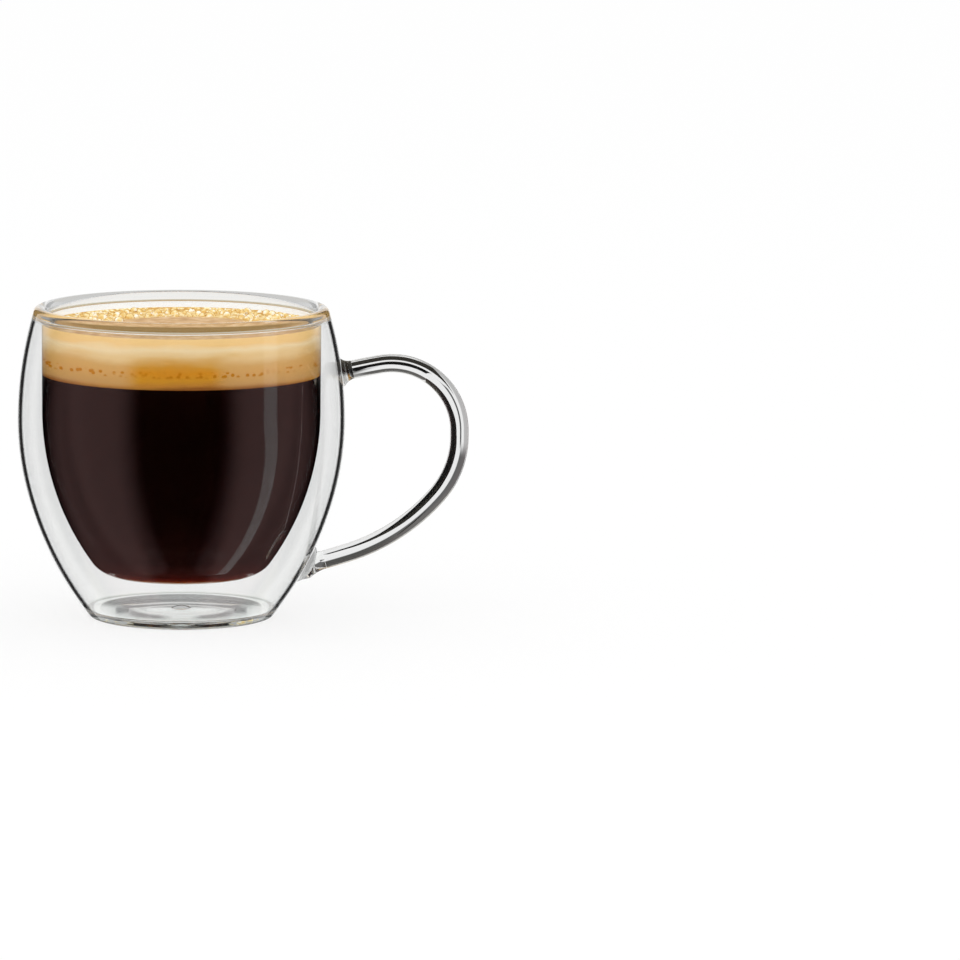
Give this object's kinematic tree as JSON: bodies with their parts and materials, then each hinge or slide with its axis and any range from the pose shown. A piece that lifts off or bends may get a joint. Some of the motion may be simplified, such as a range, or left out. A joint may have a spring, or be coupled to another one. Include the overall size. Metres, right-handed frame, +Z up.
{
  "type": "cup",
  "caption": "Double walled clear glass cup: a bowl hung inside a bulging shell, fused at a rounded lip, on a flat base, with a bent glass rod handle.",
  "frame": {"origin": "on the cup's axis, on the plane that the base stands on", "axes": "+Z up along the cup's axis, out of the mouth; +X from the axis towards the handle"},
  "size_m": [0.1212, 0.088, 0.084],
  "materials": {
    "wall_glass": "clear, fire polished",
    "weld_glass": "clear, flame worked",
    "rod_glass": "clear, drawn rod"
  },
  "bodies": {
    "root": {"inner_bowl": "wall_glass", "outer_shell": "wall_glass", "rim_bead": "weld_glass", "base_disc": "wall_glass", "heel_bead": "weld_glass", "vent_seal": "weld_glass", "handle_rod": "rod_glass", "handle_upper_weld": "weld_glass", "handle_lower_weld": "weld_glass"}
  },
  "joints": []
}
